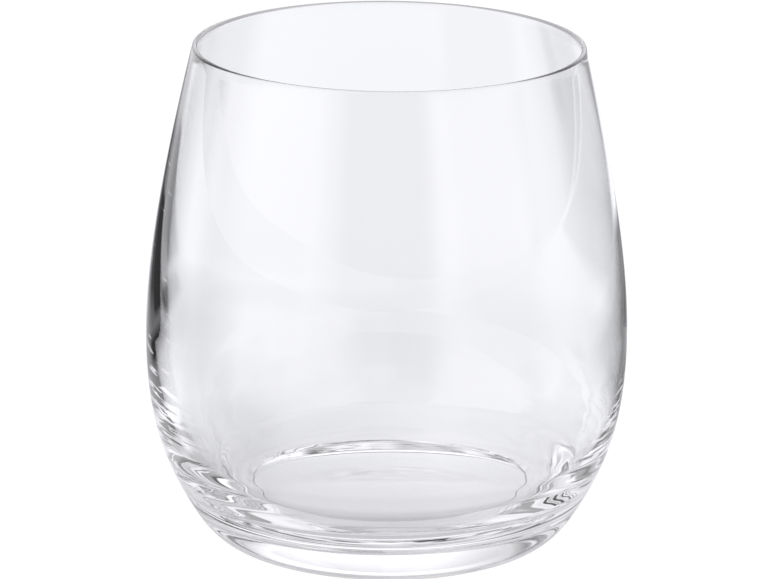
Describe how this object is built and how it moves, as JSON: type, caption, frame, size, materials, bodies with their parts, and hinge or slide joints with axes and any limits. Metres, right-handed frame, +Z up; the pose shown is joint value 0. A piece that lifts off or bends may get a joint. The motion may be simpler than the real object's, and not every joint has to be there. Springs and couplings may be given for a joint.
{
  "type": "stemless wine glass",
  "caption": "Clear stemless wine glass: rounded bowl drawn in at the lip, thin wall and a heavy clear base with a shallow punt.",
  "frame": {"origin": "middle of the foot ring, on the table plane that the glass stands on", "axes": "+Z up along the axis of the bowl, towards the lip; the glass is round, so +X and +Y are any two level directions"},
  "size_m": [0.0924, 0.0924, 0.096],
  "materials": {
    "clear_glass": "clear fire-polished soda-lime glass"
  },
  "bodies": {
    "root": {"rim": "clear_glass", "bowl": "clear_glass", "base": "clear_glass"}
  },
  "joints": []
}
